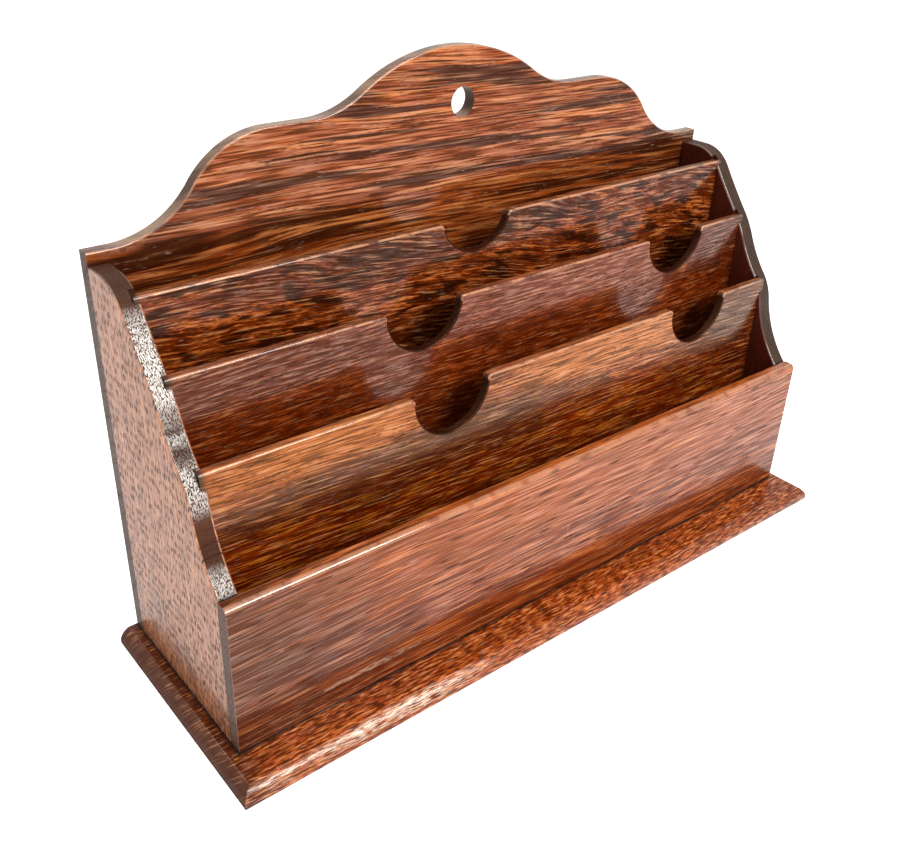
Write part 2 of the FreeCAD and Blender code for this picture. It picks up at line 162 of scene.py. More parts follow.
class Tree:
    """A node tree and the one way that nodes are put in it."""

    def __init__(self, tree: bpy.types.NodeTree) -> None:
        """Empty the tree and keep it."""
        tree.nodes.clear()
        self.tree = tree

    def add(self, kind: str, settings: dict | None = None, inputs: dict | None = None,
            output: Union[int, str] = 0) -> Wire:
        """Put a node in the tree.

        Args:
            kind: The node's type.
            settings: Its properties, which are set first.
            inputs: The value or wire of each socket, by name or by number.
            output: Which output is returned.

        Returns:
            The chosen output.
        """
        node = self.tree.nodes.new(kind)
        for name, value in (settings or {}).items():
            setattr(node, name, value)
        for name, value in (inputs or {}).items():
            if isinstance(value, Wire):
                self.tree.links.new(value.socket, node.inputs[name])
            else:
                node.inputs[name].default_value = value
        return Wire(self, node.outputs[output]) if node.outputs else Wire(self, node.inputs[0])

    def mix(self, share: Number, first: Union[Wire, Tone], second: Union[Wire, Tone]) -> Wire:
        """Blend two colours or wires, with so much of the second one."""
        first, second = ((*c, 1.0) if isinstance(c, tuple) else c for c in (first, second))
        return self.add("ShaderNodeMix", {"data_type": "RGBA"}, {0: share, 6: first, 7: second}, 2)

    def vector(self, x: Number, y: Number, z: Number) -> Wire:
        """Make a vector of three values."""
        return self.add("ShaderNodeCombineXYZ", None, {0: x, 1: y, 2: z})

    def noise(self, at: Wire, detail: float = 2.0, roughness: float = 0.5) -> Wire:
        """Cloudy noise between 0 and 1 about the middle."""
        return self.add("ShaderNodeTexNoise", None,
                        {"Vector": at, "Scale": 1.0, "Detail": detail, "Roughness": roughness})

    def spots(self, at: Wire, randomness: float) -> Wire:
        """Distance from the nearest of many scattered points."""
        return self.add("ShaderNodeTexVoronoi", None, {"Vector": at, "Scale": 1.0, "Randomness": randomness})

    def chance(self, value: Wire) -> Wire:
        """A random number for each whole number."""
        return self.add("ShaderNodeTexWhiteNoise", {"noise_dimensions": "1D"}, {"W": value})


def new_material(name: str) -> tuple[bpy.types.Material, Tree]:
    """Start a material.

    Args:
        name: Its name.

    Returns:
        The material and its empty tree.
    """
    material = bpy.data.materials.new(name)
    material.use_nodes = True
    return material, Tree(material.node_tree)


# What the wood is made of. A pattern's sizes are in millimetres, along the grain first.

@dataclass(frozen=True)
class Pattern:
    """Noise that follows the grain: its size, the shift that sets it apart, its detail and its roughness."""

    size: Pair
    shift: float
    detail: float = 2.0
    rough: float = 0.5


CLOUDS = Pattern((32, 13), 29.0, 3.0, 0.6)
BROAD_RINGS = Pattern((60, 9), 11.0)
PORE_ZONES = Pattern((30, 5), 37.0)
FLECK_ZONES = Pattern((50, 16), 43.0, 1.0)
SPECKS = Pattern((5.0, 0.42), 61.0, 1.0)
SPECK_ZONES = Pattern((16, 2.2), 67.0)
RUB_AND_HIGHLIGHT_NOISE = Pattern((9, 9), 47.0, 3.0, 0.6)
LUMPS = Pattern((60, 22), 53.0, 1.0)
PORE_SHIFT = 31.0
BEND_SIZE = (150, 45)
GRIT_PITCH = (2.0, 1.3)
DUST_PITCH = (3.0, 1.1)

# Where each effect of a pattern starts and where it is full
FIGURE_DARK, FIGURE_PALE, FIGURE_DULL = (-0.08, 0.0), (0.0, 0.08), (0.02, -0.08)
HAIR_DARK, HAIR_BRIGHT, HAIR_DULL = (0.50, 0.58), (0.42, 0.31), (0.42, 0.54)
CLOUD_DARK, CLOUD_EDGE = (0.50, 0.34), (0.40, 0.60)
GRIT_END, GRIT_NOTCH_SHADE, GRIT_SHINE = (0.40, 0.62), (0.45, 0.65), (0.50, 0.62)
SPECK_STREWN, SPECK_ZONE, SPECK_HIGHLIGHT, DUST_HIGHLIGHT = (0.61, 0.70), (0.52, 0.64), (0.44, 0.58), (0.46, 0.53)
FLECKED, RUB_AND_HIGHLIGHT_STEP = (0.52, 0.61), (0.36, 0.52)
END_GRAIN, END_NO_SPECKS = (0.35, 0.95), (0.2, 0.5)

# How far each pattern shifts a ring's dark wood, how deep it lies and how rough it is
RING_LUCK, RING_BROAD, RING_FIGURE, RING_HAIR = 0.5, 2.2, 3.5, 0.6
HAIR_DEPTH, PORE_DEPTH, BAND_DEPTH, FIGURE_DEPTH, LUMP_HEIGHT = 0.12, 0.14, 0.03, 0.10, 0.8
PORE_ROUGH, BAND_ROUGH, CLOUD_ROUGH = 0.25, 0.05, 0.06
BUMP_DISTANCE = 0.6 * MM
COAT_ROUGH, COAT_IOR = 0.10, 1.6
HOLLOW_METAL = 0.6
EDGE_SHADOW = (0.01, 0.005, 0.003)
JOINT_SHADE_TONE = (0.008, 0.004, 0.003)
CUT = "cut"


@dataclass(frozen=True)
class JointShade:
    """A dark line along a plane, a dark seam with painted shade beside the joint: its axis, its place and how far it
    reaches.
    """

    axis: str
    place: float
    reach: float

    def off(self, axes: dict[str, Wire]) -> Wire:
        """How far a point is from the line, in millimetres."""
        return (axes[self.axis] - self.place / MM).size()


@dataclass(frozen=True)
class FootJointShade(JointShade):
    """A dark seam with painted shade on the base, round the foot of the boards that stand on it."""

    def off(self, axes: dict[str, Wire]) -> Wire:
        """How far a point is outside the boards' foot, in millimetres."""
        return (axes["X"].size() - RACK.half / MM).most(RACK.front_face / MM - axes["Y"])


@dataclass(frozen=True)
class Spot:
    """A soft oval on a board, in millimetres: its middle, its reach both ways and its strength.

    As a swell it bulges the growth rings. As a patch it darkens the board, partly as stain and partly as painted shade
    in pockets, corners and low stretches; a pale patch paints a sheen of reflection, apart from small pale scratches.
    As a painted highlight it is where pale specks paint the varnish catching the light.
    """

    place: Pair
    reach: Pair
    strength: float
    pale: bool = False

    def near(self, along: Wire, across: Wire, stray: Number = 0.0) -> Wire:
        """How much of the spot a point has, from nothing at its rim to its strength in the middle."""
        far = ((along - self.place[0]) / self.reach[0]) ** 2 + ((across - self.place[1]) / self.reach[1]) ** 2
        return (far + stray).within(1.25, 0.0) * self.strength


class Timber:
    """One board as wires: where a point lies in the wood, what grew there, how it was cut and what colour it has."""

    def __init__(self, tree: Tree, oak: "Oak") -> None:
        """Find each point's place among the growth rings and all that lies there.

        Args:
            tree: The material's nodes.
            oak: The finish that is being made.
        """
        self.tree = tree
        self.oak = oak
        places = tree.add("ShaderNodeTexCoord", None, None, "Object")
        self.axes = {letter: tree.add("ShaderNodeSeparateXYZ", None, {0: places}, letter) * (1 / MM)
                     for letter in "XYZ"}
        self.along, self.across, through = (self.axes[letter] for letter in oak.grain.value)
        bend = tree.noise(tree.vector(self.along / BEND_SIZE[0] + oak.seed, self.across / BEND_SIZE[1],
                                      through / BEND_SIZE[1]))
        side = self.across + self.along * oak.lean - oak.heart[0] + (bend - 0.5) * oak.wander
        depth = through - oak.heart[1]
        self.radius = (side * side + depth * depth) ** 0.5
        for swell in oak.swells:
            self.radius = self.radius + swell.near(self.along, self.across)
        self.cloud = self.grow(CLOUDS)
        self.figure = self.grow(Pattern(oak.figure_size, 17.0, 3.0, oak.figure_rough)) - 0.5
        self.hair = self.grow(Pattern(oak.hair_size, 7.0, 1.0))
        self.band = self.rings()
        pore = tree.spots(self.follow(oak.pore_size, PORE_SHIFT), oak.pore_stray).within(*oak.pore_reach)
        self.pore = pore * (self.grow(PORE_ZONES).within(*oak.pore_spread) + self.band * 0.5).least(1.0)
        self.fleck = self.flecks() if oak.flecks else 0.0
        self.grit = self.dust(GRIT_PITCH)
        cut = tree.add("ShaderNodeAttribute", {"attribute_name": CUT}, None, "Color")
        self.end, arris, self.edge = (tree.add("ShaderNodeSeparateColor", None, {0: cut}, name)
                                      for name in ("Red", "Green", "Blue"))
        # below a divider's notch lip the cut faces and arrises are the notches, which get painted shade
        above_notches = self.axes["Z"].within(oak.notch_shade_top / MM - 1, oak.notch_shade_top / MM)
        self.hollow = self.edge.most(arris) * (1 - above_notches)
        self.arris = arris * above_notches
        self.end_grain = self.end.within(*END_GRAIN)
        self.rough_cut = self.end_grain.most(self.edge * oak.edge_share)
        self.colour = tree.mix(self.figure.within(*FIGURE_DARK), tree.mix(oak.shade, oak.mid, oak.deep), oak.mid)

    def follow(self, size: Pair, shift: float) -> Wire:
        """Places for a pattern that follows the grain, so long and so wide."""
        return self.tree.vector(self.along / size[0] + self.oak.seed + shift, self.radius / size[1] + shift, shift)

    def grow(self, pattern: Pattern) -> Wire:
        """The noise of a pattern."""
        return self.tree.noise(self.follow(pattern.size, pattern.shift), pattern.detail, pattern.rough)

    def dust(self, pitch: Pair) -> Wire:
        """Fine noise that follows no grain, with so many grains to a millimetre along X and the other two axes."""
        x, y, z = self.axes.values()
        return self.tree.noise(self.tree.vector(x * pitch[0], y * pitch[1], z * pitch[1]), 2.0, 0.6)

    def rings(self) -> Wire:
        """Find how much of the rings' dark late wood each point has."""
        turn = self.radius / self.oak.ring + self.oak.seed
        luck = self.tree.chance(turn.whole()) - 0.5
        late = 1 - (turn.part() * 2 - 1).size()
        band = late + luck * RING_LUCK + (self.grow(BROAD_RINGS) - 0.5) * RING_BROAD + self.figure * RING_FIGURE
        band = band + (self.hair - 0.5) * RING_HAIR - self.oak.band_start
        return band.within(-self.oak.band_edge, self.oak.band_edge)

    def flecks(self) -> Wire:
        """Find how much of the dark flecks, which follow the figure and the dark lines, each point has."""
        fleck = self.grow(Pattern(self.oak.fleck_size, 41.0, 1.0)) + (self.grow(FLECK_ZONES) - 0.5) * 0.4
        return (fleck + self.figure * 0.3 + (self.hair - 0.5) * 0.2).within(*FLECKED) * self.oak.flecks

    def lay(self, share: Wire, tone: Union[Wire, Tone]) -> None:
        """Lay a tone over the colour so far."""
        self.colour = self.tree.mix(share, self.colour, tone)

    def stain(self) -> None:
        """Colour the faces by figure, clouds, stain with painted shade and painted sheen, rings, flecks, lines with
        painted glints and pores.
        """
        oak = self.oak
        self.lay(self.figure.within(*FIGURE_PALE), oak.pale)
        self.lay(self.cloud.within(*CLOUD_DARK) * oak.cloudy, self.tree.mix(0.6, self.colour, oak.deep))
        # dark ovals: stain and painted shade; pale ovals: painted sheen of reflection, the small ones scratches
        for patch in oak.patches:
            near = patch.near(self.along, self.across, (self.cloud - 0.5) * 1.6 + self.figure)
            self.lay(near, oak.pale if patch.pale else oak.deep)
        self.lay(self.band * oak.band, oak.deep)
        if oak.flecks:
            self.lay(self.fleck, oak.deep)
        self.lay(self.hair.within(*HAIR_DARK) * oak.hair, oak.deep)
        # bright lines: partly the wood's light lines, partly painted highlights on the grain's crests
        self.lay(self.hair.within(*HAIR_BRIGHT) * (1 - self.band * 0.75) * oak.glints, oak.glint)
        self.lay(self.pore * oak.pores, oak.deep)

    def saw(self) -> None:
        """Colour the cut edges and the end grain."""
        oak, mix = self.oak, self.tree.mix
        shadow = mix(0.7, oak.edge_tone, EDGE_SHADOW)
        self.lay(self.edge * oak.edge_share, mix(self.cloud.within(*CLOUD_EDGE), oak.edge_tone, shadow))
        self.lay(self.end_grain * 0.9, mix(self.grit.within(*GRIT_END), oak.end_tone, oak.deep))

    def paint_specks(self) -> None:
        """Paint pale specks into the colour as painted highlights: glints of varnish in the pores, and the highlight
        spots.
        """
        oak = self.oak
        speck = self.grow(SPECKS)
        strewn = speck.within(*SPECK_STREWN) * self.grow(SPECK_ZONES).within(*SPECK_ZONE) * oak.sparkle
        strewn = strewn * (1 - self.end.within(*END_NO_SPECKS))
        zone, grain = 1 - self.edge, speck.within(*SPECK_HIGHLIGHT)
        if oak.glitter_on_cut:
            zone, grain = self.edge, self.dust(DUST_PITCH).within(*DUST_HIGHLIGHT)
        for spot in oak.glitter:
            strewn = strewn.most(spot.near(self.along, self.across, self.figure) * zone * grain)
        # painted highlights: pale specks where the varnish would catch the light
        self.lay(strewn, oak.glitter_tone)

    def age(self) -> None:
        """Paint shade into the notches, lighten the arrises as rubbed wear and painted highlight, and darken the joints
        with dark seams and painted shade.
        """
        oak = self.oak
        # painted shade in the notches
        self.lay(self.hollow * 0.9, self.tree.mix(self.grit.within(*GRIT_NOTCH_SHADE), oak.notch_shade_tone, oak.deep))
        # arrises lightened: partly rubbed bare, partly painted highlight along the rounded arrises
        self.lay(self.arris * self.grow(RUB_AND_HIGHLIGHT_NOISE).within(*RUB_AND_HIGHLIGHT_STEP) * oak.rub_and_highlight, oak.rub_and_highlight_tone)
        # dark seams with painted shade beside them, in the corners and creases
        for line in oak.joint_shade:
            near = (line.off(self.axes) + self.figure * 2).within(line.reach / MM, 0.0)
            self.lay(near * 0.92, JOINT_SHADE_TONE)

    def relief(self) -> Wire:
        """Sink the lines and pores and roughen the cuts, as a normal."""
        height = self.hair * -HAIR_DEPTH - self.pore * PORE_DEPTH - self.band * BAND_DEPTH - self.figure * FIGURE_DEPTH
        height = height + self.grit * self.rough_cut * self.oak.rugged + self.grow(LUMPS) * LUMP_HEIGHT
        return self.tree.add("ShaderNodeBump", None, {"Strength": 1.0, "Distance": BUMP_DISTANCE, "Height": height})

    def varnish(self) -> Wire:
        """Find how much the varnish shines, which is less where it sank into lines, pores and flecks."""
        oak = self.oak
        dull = self.hair.within(*HAIR_DULL).most(self.figure.within(*FIGURE_DULL) * 0.7) * oak.dulled
        dull = dull.most(self.pore * oak.pores).most(self.fleck * 0.7)
        shine = (1 - dull) * (1 - self.hollow) * oak.coat * (1 - self.rough_cut)
        shine = shine + self.grit.within(*GRIT_SHINE) * oak.polish * self.rough_cut
        return (shine + self.arris * oak.arris_coat).least(1.0)


# Finishes

@dataclass(frozen=True)
class Oak:
    """Stained and varnished oak, cut from one board. Patterns are sized in millimetres, along the grain first.

    The fibres run along the first axis of the grain. Growth rings circle a heart that lies off the board, and all
    that lies in the wood follows them.
    """

    name: str
    grain: Grain
    _: KW_ONLY
    seed: float
    wander: float
    pale: Tone
    mid: Tone
    deep: Tone
    coat: float
    sheen: float
    haze: Tone = (1.0, 0.56, 0.34)
    heart: Pair = (-200.0, -150.0)
    lean: float = 0.0
    swells: tuple[Spot, ...] = ()
    ring: float = 8.0
    band: float = 0.3
    band_start: float = 0.95
    band_edge: float = 0.20
    figure_size: Pair = (26.0, 3.4)
    figure_rough: float = 0.85
    shade: float = 0.3
    cloudy: float = 0.4
    patches: tuple[Spot, ...] = ()
    hair_size: Pair = (15.0, 0.95)
    hair: float = 0.25
    dulled: float = 1.0
    # glints and glint: bright lines, partly light wood and partly painted highlights on the grain's crests
    glints: float = 0.2
    glint: Tone = (0.90, 0.42, 0.16)
    flecks: float = 0.0
    fleck_size: Pair = (14.0, 3.3)
    pores: float = 0.6
    pore_size: Pair = (4.2, 0.8)
    pore_reach: Pair = (0.40, 0.24)
    pore_spread: Pair = (0.40, 0.60)
    pore_stray: float = 0.85
    end_tone: Tone = (0.060, 0.034, 0.022)
    end_rough: float = 0.3
    edge_tone: Tone = (0.40, 0.17, 0.075)
    edge_share: float = 0.0
    rugged: float = 0.9
    polish: float = 0.4
    # notch_shade_top: the height below which the notches get painted shade
    notch_shade_top: float = 0.0
    notch_shade_tone: Tone = (0.016, 0.006, 0.004)
    # rub_and_highlight: arrises lightened, partly rubbed bare and partly painted highlight
    rub_and_highlight: float = 0.6
    rub_and_highlight_tone: Tone = (0.62, 0.28, 0.13)
    arris_coat: float = 1.0
    # sparkle and glitter: pale specks that paint the varnish catching the light
    sparkle: float = 0.1
    glitter: tuple[Spot, ...] = ()
    glitter_tone: Tone = (0.92, 0.74, 0.56)
    glitter_on_cut: bool = False
    # joint_shade: dark seams with painted shade beside them
    joint_shade: tuple[JointShade, ...] = ()
    gloss: float = 0.20

    def build(self) -> bpy.types.Material:
        """Make the material.

        Returns:
            The finished material.
        """
        material, tree = new_material(self.name)
        wood = Timber(tree, self)
        for step in (wood.stain, wood.saw, wood.paint_specks, wood.age):
            step()
        rough = self.gloss + wood.pore * PORE_ROUGH + wood.band * BAND_ROUGH + wood.cloud * CLOUD_ROUGH
        shader = tree.add("ShaderNodeBsdfPrincipled", None, {
            "Base Color": wood.colour, "Metallic": wood.hollow * HOLLOW_METAL,
            "Roughness": rough + wood.end_grain * self.end_rough, "Normal": wood.relief(),
            "Specular IOR Level": self.sheen, "Specular Tint": (*self.haze, 1.0),
            "Coat Weight": wood.varnish(), "Coat Roughness": COAT_ROUGH, "Coat IOR": COAT_IOR})
        tree.add("ShaderNodeOutputMaterial", None, {"Surface": shader})
        return material


@dataclass(frozen=True)
class Metal:
    """Old metal, dulled over the years."""

    name: str
    bright: Tone
    dull: Tone
    roughness: float = 0.34
    stains_per_metre: float = 900.0
    pits_per_metre: float = 5200.0
    pit_depth: float = 0.05 * MM

    def build(self) -> bpy.types.Material:
        """Make the material.

        Returns:
            The finished material.
        """
        material, tree = new_material(self.name)
        places = tree.add("ShaderNodeTexCoord", None, None, "Object")
        wide, close = (tree.add("ShaderNodeVectorMath", {"operation": "SCALE"}, {0: places, "Scale": scale})
                       for scale in (self.stains_per_metre, self.pits_per_metre))
        stain = tree.noise(wide, 4.0, 0.6).within(0.42, 0.64)
        pits = tree.noise(close, 3.0, 0.6)
        normal = tree.add("ShaderNodeBump", None, {"Strength": 0.6, "Distance": self.pit_depth, "Height": pits})
        shader = tree.add("ShaderNodeBsdfPrincipled", None, {
            "Base Color": tree.mix(stain, self.bright, self.dull), "Metallic": 1 - stain * 0.55,
            "Roughness": self.roughness + stain * 0.3 + pits * 0.1, "Normal": normal})
        tree.add("ShaderNodeOutputMaterial", None, {"Surface": shader})
        return material


# The cut of oak that each board has, set against the photograph board by board. Spots are in millimetres.

BACK_OAK = Oak(
    "back_oak", Grain.LENGTHWISE, seed=2.3, wander=6.0, ring=9.0, lean=0.03,
    pale=(0.56, 0.175, 0.045), mid=(0.34, 0.064, 0.0090), deep=(0.036, 0.0056, 0.0012), sheen=0.22, coat=0.7,
    figure_size=(70.0, 2.6), figure_rough=0.75, hair_size=(24.0, 0.8), hair=0.75, band_start=0.90, cloudy=0.3,
    flecks=0.9, fleck_size=(95.0, 3.6), pores=0.5, sparkle=0.2, rub_and_highlight=0.3, rugged=0.5, polish=0.3,
    # the cut edges' light tone is partly their own and partly a painted reflection and highlight on the crest
    edge_tone=(0.30, 0.20, 0.13), edge_share=0.85, end_tone=(0.05, 0.038, 0.030),
    swells=(Spot((-165, 157), (105, 14), 5.0),),
    # painted shade: the wide low oval behind the dividers and the two in the corners by the sides; the one on the crest
    # darkens it faintly
    patches=(Spot((0, 140), (400, 34), 0.15), Spot((140, 166), (30, 20), 0.6), Spot((-135, 166), (30, 12), 0.3),
             Spot((60, 205), (70, 14), 0.15)))

FRONT_OAK = Oak(
    "front_oak", Grain.LENGTHWISE, seed=5.1, wander=7.0,
    pale=(0.46, 0.108, 0.017), mid=(0.24, 0.034, 0.0030), deep=(0.042, 0.0062, 0.0008), sheen=0.38, coat=0.68,
    figure_size=(50.0, 2.2), figure_rough=0.75, shade=0.5, hair_size=(24.0, 0.75), hair=0.5, band=0.25,
    pores=0.9, pore_size=(17.0, 1.7), pore_reach=(0.31, 0.17), pore_spread=(0.36, 0.52), rub_and_highlight=0.35, polish=0.25,
    end_tone=(0.05, 0.038, 0.030),
    # painted shade darkens the left end and the foot; the wide pale oval paints a sheen of reflection; the two thin
    # pale marks are scratches
    patches=(Spot((-160, 40), (75, 60), 0.7), Spot((0, 12), (400, 14), 0.2), Spot((30, 62), (170, 24), 0.45, True),
             Spot((4.5, 38.0), (0.6, 2.8), 0.8, True), Spot((8.8, 32.0), (0.6, 2.6), 0.8, True)),
    # painted highlight: a line of glints near the foot
    glitter=(Spot((-98, 16.5), (34, 1.5), 0.35),), joint_shade=(JointShade("Z", RACK.base_thickness, 1.1 * MM),))

BASE_OAK = Oak(
    "base_oak", Grain.BASE, seed=8.7, wander=10.0,
    pale=(0.50, 0.125, 0.018), mid=(0.34, 0.053, 0.0042), deep=(0.046, 0.0070, 0.0010), sheen=0.30, coat=0.5,
    figure_size=(10.0, 2.0), figure_rough=1.0, hair_size=(6.0, 0.65), hair=0.85, glints=0.4, band_start=0.9,
    pores=0.5, pore_size=(5.0, 0.9), pore_reach=(0.36, 0.2), sparkle=0.3, rub_and_highlight=0.0, arris_coat=0.15, gloss=0.26,
    end_tone=(0.045, 0.013, 0.006), end_rough=0.55, rugged=0.1, polish=0.0,
    # painted highlight: the lamp's highlight on the moulding's crowned bevel and near the left corner
    glitter=(Spot((-95, -51.2), (48, 3), 0.6), Spot((-150, -51.5), (8, 2), 0.4)),
    patches=(Spot((-163, 0), (12, 120), 0.85), Spot((150, -50), (60, 12), 0.3)),
    joint_shade=(FootJointShade("X", 0.0, 2.0 * MM),))


def divider_oak(name: str, top: float, **looks: object) -> Oak:
    """Oak for a divider of this height, with painted shade in its notches below its top and in the corners where it
    meets the sides.
    """
    corners = tuple(JointShade("X", sign * RACK.divider_reach / 2, 3.5 * MM) for sign in (-1, 1))
    return Oak(name, Grain.LENGTHWISE, edge_share=0.3, joint_shade=corners, notch_shade_top=top - RACK.notch_lip, **looks)


def side_oak(name: str, **looks: object) -> Oak:
    """Oak for a side, with dark seams and painted shade along its joints with the back, the front and the base."""
    seams = (JointShade("Y", RACK.side_rear, 0.9 * MM), JointShade("Y", RACK.side_front, 0.9 * MM),
             JointShade("Z", RACK.base_thickness, 1.2 * MM))
    return Oak(name, Grain.STANDING, edge_share=0.95, rub_and_highlight=0.0, joint_shade=seams, sparkle=0.0, **looks)


DIVIDER_OAKS = (
    divider_oak(
        "rear_divider_oak", RACK.divider_tops[0], seed=11.9, wander=26.0, ring=9.0, lean=0.10,
        pale=(0.47, 0.115, 0.0190), mid=(0.210, 0.029, 0.0022), deep=(0.026, 0.0036, 0.0006), sheen=0.2, coat=0.55,
        figure_size=(18.0, 2.6), figure_rough=1.0, shade=0.5, hair_size=(13.0, 0.75), hair=0.65, glints=0.3,
        band=0.5, band_start=0.9, flecks=0.95, sparkle=0.15,
        # painted shade: the wide low oval deep in the pocket; the others darken the stain near the top
        patches=(Spot((-30, 158), (110, 12), 0.6), Spot((125, 156), (30, 14), 0.4), Spot((30, 158), (50, 10), 0.3),
                 Spot((0, 114), (400, 17), 0.6))),
    divider_oak(
        "middle_divider_oak", RACK.divider_tops[1], seed=14.3, wander=9.0,
        pale=(0.27, 0.048, 0.0065), mid=(0.145, 0.0175, 0.0014), deep=(0.030, 0.0034, 0.0004), sheen=0.35, coat=0.7,
        figure_size=(18.0, 2.4), figure_rough=1.0, hair_size=(12.0, 0.75), hair=0.6, band=0.25, cloudy=0.35,
        # painted shade: the wide low oval deep in the pocket and the one at the right end by the side; the pale oval
        # paints a sheen near the top; the left one darkens the stain
        patches=(Spot((-115, 132), (90, 12), 0.35), Spot((0, 88), (400, 17), 0.35), Spot((135, 130), (34, 20), 0.6),
                 Spot((60, 130), (70, 16), 0.4, True))),
    divider_oak(
        "front_divider_oak", RACK.divider_tops[2], seed=19.6, wander=9.0, lean=0.03,
        pale=(0.53, 0.138, 0.011), mid=(0.240, 0.025, 0.0011), deep=(0.034, 0.0036, 0.0003), sheen=0.55, coat=0.5,
        haze=(1.0, 0.62, 0.28), figure_size=(28.0, 2.2), figure_rough=0.9, hair_size=(18.0, 0.75), hair=0.75,
        glints=0.3, band=0.2, cloudy=0.5,
        # painted shade: the ovals low down and the one at the right end by the side; painted light: the two pale ovals
        # along the top
        patches=(Spot((-60, 86), (130, 15), 0.75), Spot((-30, 92), (30, 14), 0.4), Spot((132, 98), (34, 30), 0.85),
                 Spot((110, 84), (50, 14), 0.4), Spot((0, 62), (400, 14), 0.3),
                 Spot((-108, 106), (60, 10), 0.6, True), Spot((50, 106), (60, 12), 0.75, True))),
)

LEFT_OAK = side_oak(
    "left_side_oak", seed=23.1, wander=3.0,
    pale=(0.53, 0.235, 0.125), mid=(0.42, 0.160, 0.076), deep=(0.050, 0.014, 0.006), sheen=0.1, coat=0.22,
    figure_size=(12.0, 2.6), hair_size=(14.0, 0.8), dulled=0.25, glints=0.25, band=0.1,
    pores=1.0, pore_size=(4.4, 0.95), pore_reach=(0.36, 0.29), pore_spread=(0.1, 0.35), pore_stray=0.5,
    # the oval darkens it towards the bottom
    edge_tone=(0.072, 0.023, 0.013), polish=0.25, patches=(Spot((4, 10), (40, 90), 0.3),),
    # painted highlights: where the scalloped edge catches the light
    glitter=(Spot((140, 14), (22, 20), 0.95), Spot((120, 2), (4, 6), 0.9), Spot((104, -7), (12, 10), 0.95),
             Spot((76, -25), (7, 8), 0.6)),
    glitter_tone=(0.88, 0.83, 0.76), glitter_on_cut=True)

# a far darker copy of the sides' oak: painted shade, set to the right side's shaded inner face
RIGHT_SHADED_OAK = side_oak(
    "right_side_oak", seed=27.5, wander=8.0,
    pale=(0.085, 0.013, 0.006), mid=(0.072, 0.013, 0.007), deep=(0.028, 0.005, 0.003), sheen=0.25, coat=0.03,
    dulled=0.3, glints=0.0, band_start=0.8, edge_tone=(0.018, 0.009, 0.004), polish=0.12)


# Bench work: the few moves that every board is made with

FINE = 1e-6
ARC_CHORD = 1.3 * MM
ARC_TURN = math.radians(7)
ARC_STEPS = 3
BORE_SIDES = 40
SMOOTH_ANGLE = math.radians(32)
FACE_WEIGHT = 60
EDGE_TILT = 0.12
FACE_TILT = 0.97


def flat_edge(ends: Ends, axis: str, places: Sequence[float]) -> bool:
    """Whether an edge lies wholly at one of these places along an axis, which is "x", "y" or "z"."""
    return any(all(abs(getattr(end, axis) - place) < 10 * FINE for end in ends) for place in places)


def select_only(piece: bpy.types.Object) -> None:
    """Deselect everything but one piece, and make it the active one."""
    bpy.ops.object.select_all(action="DESELECT")
    bpy.context.view_layer.objects.active = piece
    piece.select_set(True)


